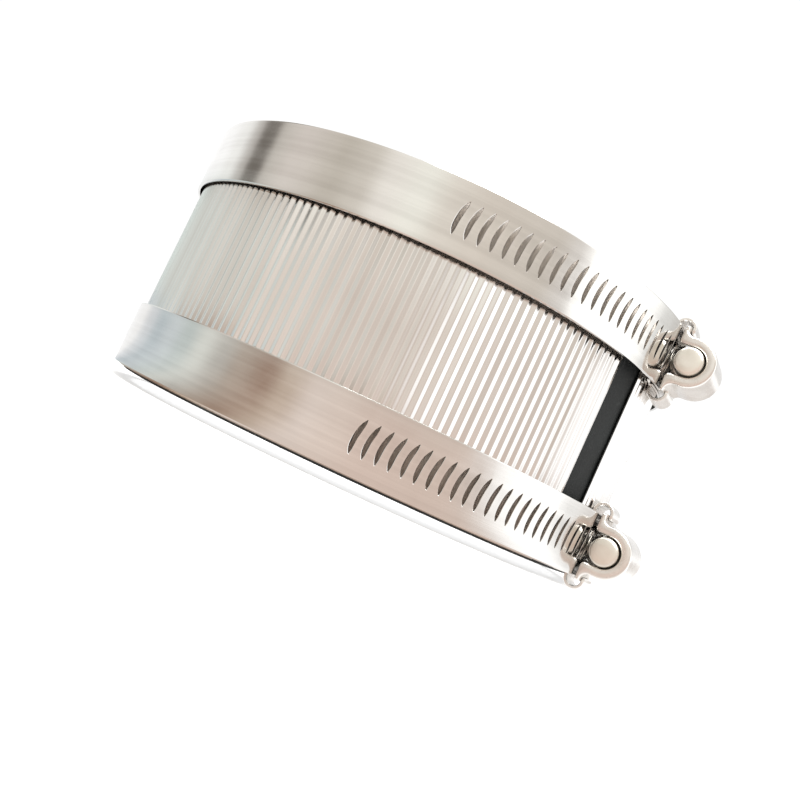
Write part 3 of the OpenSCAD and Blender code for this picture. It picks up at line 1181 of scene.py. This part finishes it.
# ---------------------------------------------------------------- screw
def screw_body():
    """The turned part of the screw: round tip, core and neck."""
    tip_end = screw_low.y
    inside = housing_len / 2 - 1.0 * mm
    head = screw_high.y - hex_len
    profile = [
        (0, tip_end), (1.2 * mm, tip_end), (tip_r - 0.7 * mm, tip_end + 0.03 * mm),
        (tip_r - 0.35 * mm, tip_end + 0.12 * mm), (tip_r - 0.1 * mm, tip_end + 0.32 * mm),
        (tip_r, tip_end + 0.6 * mm), (tip_r, -inside), (core_r, -inside + 0.3 * mm),
        (core_r, inside - 0.4 * mm), (neck_r, inside - 0.2 * mm), (neck_r, head + 0.3 * mm),
        (0, head + 0.3 * mm),
    ]
    return turned(profile, 64)


def screw_thread():
    """The worm thread: a trapezoid swept round the core, tapering in at both ends."""
    per_turn = 36
    inside = housing_len / 2 - 1.2 * mm
    root = core_r - 0.2 * mm
    crest_flat = 0.4 * mm
    flank = math.radians(25)
    root_flat = crest_flat + 2 * (crest_r - root) * math.tan(flank)
    first = math.ceil((-inside + root_flat / 2) / pitch * per_turn)
    last = math.floor((inside - root_flat / 2) / pitch * per_turn)
    taper_steps = 8
    loops = []
    for i in range(first, last + 1):
        angle = 2 * math.pi * i / per_turn
        height = pitch * i / per_turn
        taper = min(1.0, (min(i - first, last - i) + 1) / taper_steps)
        crest = root + (crest_r - root) * taper
        ring = []
        for radius, offset in (
            (root, -root_flat / 2), (crest - 0.1 * mm, -crest_flat / 2 - 0.05 * mm),
            (crest, -crest_flat / 2 + 0.08 * mm), (crest, crest_flat / 2 - 0.08 * mm),
            (crest - 0.1 * mm, crest_flat / 2 + 0.05 * mm), (root, root_flat / 2),
        ):
            ring.append(Vector((-radius * math.cos(angle), -radius * math.sin(angle), height + offset)))
        loops.append(ring)
    return loft(loops)


def screw_head():
    """The hexagon with chamfered corners, in the screw's own frame."""
    head = screw_high.y - hex_len
    corner = hex_af / 2 / math.cos(math.pi / 6)
    around = 72
    loops = []
    for height, limit in (
        (0, hex_af / 2 - 0.1 * mm), (0.25 * mm, hex_af / 2 + 0.25 * mm), (0.55 * mm, corner),
        (hex_len - 0.7 * mm, corner), (hex_len - 0.3 * mm, hex_af / 2 + 0.2 * mm),
        (hex_len, hex_af / 2 - 0.35 * mm),
    ):
        ring = []
        for i in range(around):
            angle = 2 * math.pi * i / around
            flat = (angle + math.pi / 6) % (math.pi / 3) - math.pi / 6
            radius = min(hex_af / 2 / math.cos(flat), limit)
            ring.append(Vector((radius * math.cos(angle), radius * math.sin(angle), head + height)))
        loops.append(ring)
    return loft(loops)


def box_shell(low, high):
    """A box's points and faces, used to cut a slot."""
    points = [Vector((x, y, z)) for x in (low.x, high.x) for y in (low.y, high.y) for z in (low.z, high.z)]
    faces = [(0, 1, 3, 2), (4, 6, 7, 5), (0, 4, 5, 1), (2, 3, 7, 6), (0, 2, 6, 4), (1, 5, 7, 3)]
    return points, faces


def slotted_head(name, material):
    """The hexagon head with its screwdriver slot cut across and its edges eased."""
    head = make_piece(name, *screw_head(), material)
    top = screw_high.y
    width = 0.6 * mm
    reach = hex_af
    low = Vector((-width, -reach, top - 1.5 * mm))
    high = Vector((width, reach, top + mm))
    cutter = make_piece(name + "_cutter", *box_shell(low, high), material)
    cut = head.modifiers.new("slot", "BOOLEAN")
    cut.operation = "DIFFERENCE"
    cut.solver = "EXACT"
    cut.object = cutter
    settle(head)
    bpy.data.objects.remove(cutter)
    return head


def worm_screw(side, z, material):
    """The worm screw: tip and core, thread and slotted head in one piece."""
    head = slotted_head(side + "_worm_screw_head", material)
    head_points = [v.co.copy() for v in head.data.vertices]
    head_faces = [tuple(p.vertices) for p in head.data.polygons]
    bpy.data.objects.remove(head)
    points, faces = joined(screw_body(), screw_thread(), (head_points, head_faces))
    placed = [Vector((screw_x + p.x, p.z, z - p.y)) for p in points]
    piece = make_piece(side + "_worm_screw", placed, faces, material, thread_crease)
    stand_for(piece, side + "_screw", side + "_worm")


# ---------------------------------------------------------------- rivet
def rivet(side, z, material):
    """The domed rivet that holds the clamp to the shield."""
    seat = fixed_r + band_t + rivet_seat_gap
    foot = shield_out + fixed_cx + rivet_foot_gap
    flat = 0.12 * mm
    profile = [(0, foot), (rivet_shank_r, foot), (rivet_shank_r, seat), (rivet_head_r - flat, seat)]
    profile += [(rivet_head_r, seat + flat)]
    steps = 8
    for k in range(1, steps):
        angle = math.pi / 2 * k / steps
        profile.append((
            rivet_head_r * math.cos(angle) ** rivet_dome,
            seat + flat + (rivet_head_h - flat) * math.sin(angle),
        ))
    profile.append((0, seat + rivet_head_h))
    points, faces = turned(profile, 48)
    out = Vector((math.cos(rivet_angle), math.sin(rivet_angle), 0))
    along = Vector((-out.y, out.x, 0))
    start = Vector((fixed_cx, 0, z))
    placed = [start + p.z * out + p.x * along + Vector((0, 0, p.y)) for p in points]
    piece = make_piece(side + "_rivet_head", placed, faces, material)
    stand_for(piece, side + "_rivet", "shield_assembly")


# ---------------------------------------------------------------- the whole part
drawn_grain = grain_group()
handling_marks = handling_group()
worn_edges = edge_group()

studio_panels = panels_group()

place_camera()
studio_world()
pale_floor()
soft_light("overhead_softbox", softbox_place, softbox_size, softbox_power)

rubber_sleeve()
corrugated_shield(shield_steel())
strip = band_steel()
plate = pressed_steel()
plating = plated_steel()
for clamp, height in clamps.items():
    fixed_band(clamp, height, strip)
    strap(clamp, height, strip)
    saddle_plate(clamp, height, plate)
    screw_housing(clamp, height, plate)
    worm_screw(clamp, height, plating)
    rivet(clamp, height, plating)

view = bpy.context.scene.view_settings
view.view_transform = "Standard"
view.look = "None"
